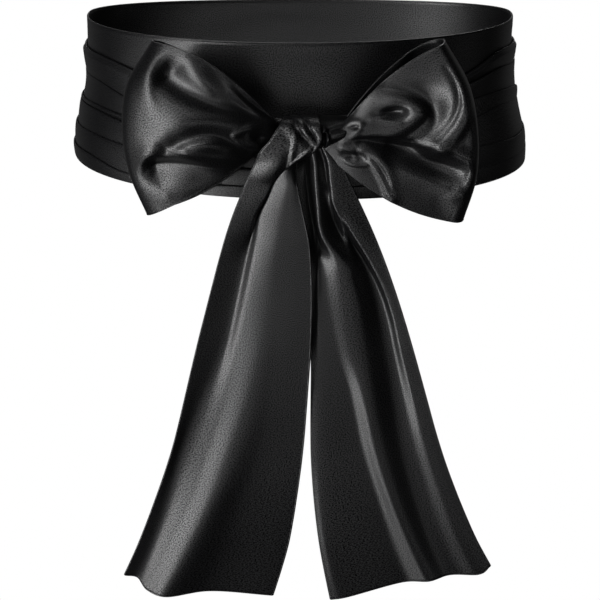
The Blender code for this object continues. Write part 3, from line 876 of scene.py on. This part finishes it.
# %% Rolled hems
HEM_RADIUS = 0.62
HEM_SIDES = 8
HEM_STEPS = 230
RING_HEM_BELOW_TOP = 0.5
RING_HEM_BOTTOM = -43.6
# a direction that no edge of the sash runs in, to turn each tube from
ASLANT = (0.3, 0.4, 0.87)


def hem_tube(path, closed):
    """A grid rolled into a tube round a path of points."""
    ahead = np.roll(path, -1, axis=0) - np.roll(path, 1, axis=0)
    if not closed:
        ahead[0] = path[1] - path[0]
        ahead[-1] = path[-1] - path[-2]
    ahead /= np.linalg.norm(ahead, axis=1)[:, None]
    aside = np.cross(ahead, ASLANT)
    aside /= np.linalg.norm(aside, axis=1)[:, None]
    over = np.cross(ahead, aside)
    last = len(path) if closed else len(path) - 1

    def place(u, v):
        i = np.rint(u * last).astype(int) % len(path)
        angle = 2 * math.pi * v[:, None]
        return path[i] + HEM_RADIUS * (np.cos(angle) * aside[i] + np.sin(angle) * over[i])

    return shaped_grid(last, HEM_SIDES, place)


def sheet_edges(place, sides):
    """Points along chosen edges of a sheet."""
    run = np.linspace(0.0, 1.0, HEM_STEPS + 1)
    start = np.zeros_like(run)
    end = np.ones_like(run)
    edges = {"top": (run, start), "bottom": (run, end), "left": (start, run), "right": (end, run)}
    return [place(*edges[side]) for side in sides]


def join_hem(node, paths, closed=False):
    """One object from a tube along each path, each with its own closed form."""
    name = "hem_" + node
    tubes = [make_piece("hem", hem_tube(path, closed), cloth) for path in paths]
    whole = bmesh.new()
    for piece in tubes:
        whole.from_mesh(piece.data)
        bpy.data.objects.remove(piece, do_unlink=True)
    mesh = bpy.data.meshes.new(name)
    whole.to_mesh(mesh)
    whole.free()
    mesh.shade_smooth()
    mesh.materials.append(cloth)
    joined = bpy.data.objects.new(name, mesh)
    bpy.context.scene.collection.objects.link(joined)
    print(name, len(mesh.vertices), "points")
    return joined


hems = {}
for node, place in loop_places.items():
    hems[node] = join_hem(node, sheet_edges(place, ("top", "bottom")))
for node, place in tail_places.items():
    hems[node] = join_hem(node, sheet_edges(place, ("left", "right", "bottom")))

ring = (2 * np.arange(RING_STEPS) / RING_STEPS - 1) * math.pi
mid_wall = np.full_like(ring, WALL / 2)
ring_paths = [waist_point(ring, top_height(ring) - RING_HEM_BELOW_TOP, mid_wall),
              waist_point(ring, bottom_height(ring, RING_HEM_BOTTOM), mid_wall)]
hems["inner_wrap"] = join_hem("inner_wrap", ring_paths, closed=True)

# %% [markdown]
# Each cloth piece replaces its solid and rides on the one body, and so does its hem. A table gives,
# in metres, the flat size that each piece but the knot, which is a bundle, was cut to and how its
# cloth is held.

# %% The pieces on the body
FLAT = {
    "inner_wrap": (0.10, 0.77, "stretched"),
    "outer_wrap": (0.10, 0.77, "folded"),
    "loop_left": (0.10, 0.20, "folded"),
    "loop_right": (0.10, 0.20, "folded"),
    "tail_left": (0.10, 0.29, "hung"),
    "tail_right": (0.10, 0.29, "hung"),
}
pieces = {"inner_wrap": inner_wrap, "outer_wrap": outer_wrap, "knot": knot, **loops, **tails}
for node, piece in pieces.items():
    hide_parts(node)
    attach(piece, "root")
    hem = hems.get(node)
    if hem:
        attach(hem, "root")
    node in FLAT
print("pieces:", len(pieces), "with", len(hems), "hems and", len(FLAT), "flat sizes")

# %% [markdown]
# Black satin shows only what it reflects, so its look is drawn by soft boxes alone. A tall one at
# the front left, with a low and a high one beside it, makes the highlights. Weaker ones in front,
# on top and at the sides keep the flat cloth from going black. Behind, two serve the back and a
# wide, faint one stands for the wall of the room. A small one inside the waist lights the far wall,
# which no other one reaches.

# %% Lights
LIGHT_DISTANCE = 2.0
LIGHT_AIM = (0.0, -0.1, -0.05)


def soft_box(name, azimuth, height, size, radiance, aim=LIGHT_AIM, distance=LIGHT_DISTANCE):
    """A soft box by its bearing from the camera's side and its height, both in degrees."""
    data = bpy.data.lights.new(name, "AREA")
    data.shape = "RECTANGLE"
    data.size, data.size_y = size
    data.energy = radiance * math.pi * size[0] * size[1]
    box = bpy.data.objects.new(name, data)
    bpy.context.scene.collection.objects.link(box)
    bearing = math.radians(azimuth)
    rise = math.radians(height)
    level = distance * math.cos(rise)
    box.location = (aim[0] + level * math.sin(bearing), aim[1] - level * math.cos(bearing),
                    aim[2] + distance * math.sin(rise))
    box.rotation_euler = (math.pi / 2 - rise, 0, bearing)
    box.visible_camera = False
    print("light", name, size, radiance)


soft_box("key_left", -50, -4, (0.75, 2.6), 10.2)
soft_box("low_left", -50, -52, (0.9, 0.7), 3.0)
soft_box("high_left", -42, 42, (0.9, 0.7), 2.2)
soft_box("side_left", -88, -20, (0.9, 1.2), 0.6)
soft_box("front", -3, -12, (1.2, 0.9), 1.0)
soft_box("top_front", -10, 40, (0.9, 0.7), 1.8)
soft_box("top", 0, 68, (1.2, 0.8), 0.8)
soft_box("front_right", 32, -12, (0.6, 1.4), 0.55)
soft_box("side_right", 90, 5, (0.8, 1.2), 0.12)
soft_box("backdrop", 180, 0, (4.0, 1.8), 0.07)
soft_box("back_low", 180, -14, (1.1, 0.9), 3.2)
soft_box("back_high", 176, 45, (1.2, 0.8), 5.0)
soft_box("waist_fill", 0, 4, (0.22, 0.06), 1.3, (0.0, 0.1, -0.03), 0.19)

# %% [markdown]
# A pale floor lies a metre below the waist, where it would be in a room, and the photograph's
# white fills the rest. The floor glows by itself, so no light is needed for it, and it is hidden
# from reflections, so that it doesn't light the cloth from below. The room around the sash is dim,
# and the world is white for the camera alone.

# %% Floor and world
FLOOR_Z = -1.0
FLOOR_REACH = 30.0
ROOM_DIMNESS = 0.018

world = bpy.data.worlds.new("studio")
bpy.context.scene.world = world
world.use_nodes = True
room = Shade(world.node_tree)
world.node_tree.nodes.clear()
seen = room.node("ShaderNodeLightPath")
shown = room.node("ShaderNodeBackground", None, {"Color": (1, 1, 1, 1), "Strength": 1.0})
dim = room.node("ShaderNodeBackground", None, {"Color": (1, 1, 1, 1), "Strength": ROOM_DIMNESS})
mixed = room.node("ShaderNodeMixShader", None, {0: seen, 1: dim, 2: shown})
room.node("ShaderNodeOutputWorld", None, {"Surface": mixed})

floor_grid = bmesh.new()
bmesh.ops.create_grid(floor_grid, x_segments=1, y_segments=1, size=FLOOR_REACH)
for vert in floor_grid.verts:
    vert.co.z = FLOOR_Z
floor_mesh = bpy.data.meshes.new("pale_floor")
floor_grid.to_mesh(floor_mesh)
floor_grid.free()
floor = bpy.data.objects.new("pale_floor", floor_mesh)
bpy.context.scene.collection.objects.link(floor)
paint = bpy.data.materials.new("pale_floor")
paint.use_nodes = True
paint.node_tree.nodes.clear()
floor_shade = Shade(paint.node_tree)
glow = floor_shade.node("ShaderNodeEmission", None, {"Color": (1, 1, 1, 1), "Strength": 1.0})
floor_shade.node("ShaderNodeOutputMaterial", None, {"Surface": glow})
floor_mesh.materials.append(paint)
floor.visible_glossy = False
floor.visible_diffuse = False
floor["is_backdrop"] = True
print("floor at", FLOOR_Z, "m")

# %% [markdown]
# The camera stands where the photographer stood: straight in front, a little above, looking down
# by seventeen degrees through a lens of about 100 mm.

# %% Camera
CAMERA_PLACE = (0.0, -1.0728, 0.1862)
CAMERA_PITCH_DOWN = 17.2
LENS = 99.67
SENSOR_WIDTH = 36.0
SEEN_FROM = 0.05

camera_data = bpy.data.cameras.new("camera")
camera_data.sensor_width = SENSOR_WIDTH
camera_data.lens = LENS
camera_data.clip_start = SEEN_FROM
camera = bpy.data.objects.new("camera", camera_data)
bpy.context.scene.collection.objects.link(camera)
camera.location = CAMERA_PLACE
camera.rotation_euler = (math.radians(90 - CAMERA_PITCH_DOWN), 0, 0)
bpy.context.scene.camera = camera
bpy.context.scene.view_settings.view_transform = "Standard"
print("camera at", CAMERA_PLACE, "lens", LENS, "mm")

# %% Sizes and finish
dressed_box = [list(map(float, corner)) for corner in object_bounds()]
print("dressed from", dressed_box[0], "to", dressed_box[1])
